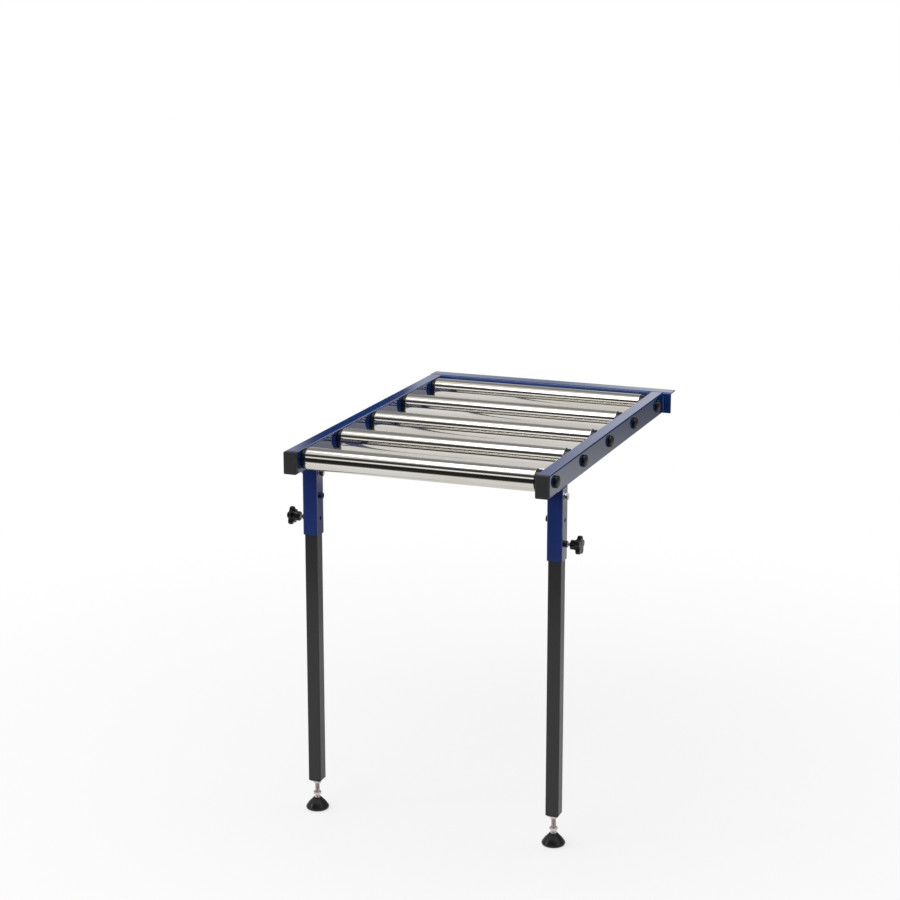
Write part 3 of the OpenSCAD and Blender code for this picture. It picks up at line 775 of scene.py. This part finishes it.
knob_plastic, shader = new_shader("black knob plastic")
grain = shader.noise(1300.0, 3.0)
flow = shader.noise(70.0, 3.0)
finish_surface(
    shader, shader.mix(flow, grey(0.002), grey(0.005)), 0.12 + 0.08 * flow,
    relief(shader, grain, 8e-6), ior=1.42,
)

for (side, hand), turn in zip(SIDES, KNOB_TURNS):
    low, high = limits(f"{hand}_knob")
    hub = low[0] if side > 0 else high[0]
    stud = middle(f"{hand}_clamp_stud")[0]
    knob = star_knob(math.pi / 2 - turn)
    knob[..., 0] = hub + side * knob[..., 0]
    knob[..., 1:] += stud[1:]
    piece(
        f"star_knob_{hand}", [knob], f"{hand}_knob", knob_plastic,
        [f"{hand}_knob"],
    )


# Legs: square steel tube in satin black powder coat, with a black threaded insert pushed into the
# lower end.
powder, shader = new_shader("black powder coat")
grain = shader.noise(1100.0, 3.0)
cloud = shader.noise(16.0, 3.0)
wave = shader.noise(55.0, 1.0)
bump = relief(shader, wave, 4e-5)
bump = relief(shader, grain, 1.4e-5, bump)
finish_surface(
    shader, shader.mix(cloud, grey(0.015), grey(0.023)), 0.27 + 0.12 * cloud, bump,
    coat_weight=0.25, coat_roughness=0.12,
)
dress(powder, "left_leg", "right_leg")
dress(plug_plastic, "left_leg_insert", "right_leg_insert")


# Levelling feet: a plated hexagon with a neck and ball, screwed on a long stud with a lock nut, in
# a conical plastic pad.
def around_z(profile, centre, steps=128):
    """Surface of revolution round the upright axis: x = radius * cos, y = radius * sin, and the
    height is the profile's second number."""
    radius, height = np.array(profile, float).T[:, :, None]
    angle = np.linspace(0.0, 2 * math.pi, steps, endpoint=False)[None, :]
    rows = [radius * np.cos(angle), radius * np.sin(angle), height + 0 * angle]
    return np.stack(rows, axis=2) + np.array(centre)


pad_plastic, shader = new_shader("black pad plastic")
grain = shader.noise(1700.0, 2.0)
flow = shader.noise(50.0, 3.0)
finish_surface(
    shader, shader.mix(flow, (0.003, 0.0025, 0.004, 1.0), (0.007, 0.006, 0.008, 1.0)),
    0.24 + 0.12 * flow, relief(shader, grain, 1.2e-5), ior=1.52,
)

foot_plating, shader = new_shader("satin nickel plating")
spangle = shader.noise(420.0, 3.0)
finish_surface(
    shader, shader.mix(spangle, (0.90, 0.85, 0.80, 1.0), (0.76, 0.69, 0.64, 1.0)),
    0.26 + 0.16 * spangle, relief(shader, spangle, 1.0e-5), metallic=1.0,
)

# Pad: the cup round the ball, whose centre lies under the pad's top, and the round rim.
CUP_R = 0.00755
BALL_DROP = 0.0025
RIM_R = 0.005
RIM_AT = 0.021
RIM_END = 2.3
PAD_EDGE = 0.003

for hand in ("left", "right"):
    dress(foot_plating, f"{hand}_lock_nut", f"{hand}_foot_hexagon")
    low, high = limits(f"{hand}_foot_stud")
    rod = threaded(high[2] - low[2], *FOOT_THREAD)
    rod += np.array([(low[0] + high[0]) / 2, (low[1] + high[1]) / 2, low[2]])
    piece(
        f"foot_thread_{hand}", [rod], f"{hand}_foot_stud", stud_steel,
        [f"{hand}_foot_stud"], sharp=60.0,
    )
    centre, half = middle(f"{hand}_foot_pad")
    pad_h = 2 * half[2]
    ball_at = pad_h - BALL_DROP
    lip = math.acos((pad_h - ball_at) / CUP_R)
    cup = [(CUP_R * math.sin(a), ball_at + CUP_R * math.cos(a))
           for a in np.linspace(lip, math.pi, 14)]
    rim = [(RIM_AT + RIM_R * math.sin(a), RIM_R - RIM_R * math.cos(a))
           for a in np.linspace(0.0, RIM_END, 14)]
    outside = rounded([
        rim[-1], (RIM_AT - 0.0015, pad_h * 0.57), (0.0105, pad_h * 0.90), (0.0084, pad_h),
        (0.0073, pad_h),
    ], PAD_EDGE)
    profile = [(0.0, 0.0015), (0.0166, 0.0015), (0.0170, 0.0)] + rim[:-1]
    profile += [tuple(point) for point in outside] + cup[1:]
    piece(
        f"pad_{hand}", [around_z(profile, (centre[0], centre[1], 0.0))], f"{hand}_foot_pad",
        pad_plastic, [f"{hand}_foot_pad"],
    )


# Weld beads: the rail ends are welded to the hook angle's web before the enamel goes on.
UPRIGHT_BEAD_R = 0.0019
LOW_BEAD_R = 0.0015
BEAD_OFF = 0.0004
RIPPLE = 0.0032
SWELL = 0.06


def bead(path, across, up, radius):
    """Weld bead along a path of points: a circle of the radius in the plane of two directions,
    which swells and sinks in ripples and closes at both ends."""
    path = np.array(path, float)
    run = np.concatenate([[0.0], np.cumsum(np.linalg.norm(np.diff(path, axis=0), axis=1))])
    count = max(int(run[-1] / RIPPLE * 10), 12)
    at = np.linspace(0.0, run[-1], count)
    line = np.stack([np.interp(at, run, path[:, k]) for k in range(3)], axis=1)
    to_end = np.minimum(at, run[-1] - at)
    end = np.sqrt(np.clip(to_end / (radius * 1.5), 0.0, 1.0))
    r = radius * end * (1.0 + SWELL * np.cos(at / RIPPLE * 2 * math.pi))
    angle = np.linspace(0.0, 2 * math.pi, 12, endpoint=False)
    ring = np.cos(angle)[:, None] * np.array(across) + np.sin(angle)[:, None] * np.array(up)
    return line[:, None, :] + r[:, None, None] * ring[None]


def upright_bead(x, y, low, high):
    """Bead up one side of a rail's end."""
    ends = [(x, y, low + 0.002), (x, y, high - 0.006)]
    return bead(ends, (1, 0, 0), (0, 1, 0), UPRIGHT_BEAD_R)


for side, hand in SIDES:
    low, high = limits(f"{hand}_rail")
    inner, outer = (low[0], high[0]) if side > 0 else (high[0], low[0])
    y = high[1] - BEAD_OFF
    z = low[2] + 0.0006
    beads = [
        upright_bead(inner - side * BEAD_OFF, y, low[2], high[2]),
        bead(
            [(inner + side * 0.002, y, z), (outer - side * 0.002, y, z)],
            (0, 1, 0), (0, 0, 1), LOW_BEAD_R,
        ),
    ]
    if side > 0:
        beads.append(upright_bead(outer + BEAD_OFF, y, low[2], high[2]))
    piece(f"hook_welds_{hand}", beads, "root", enamel)
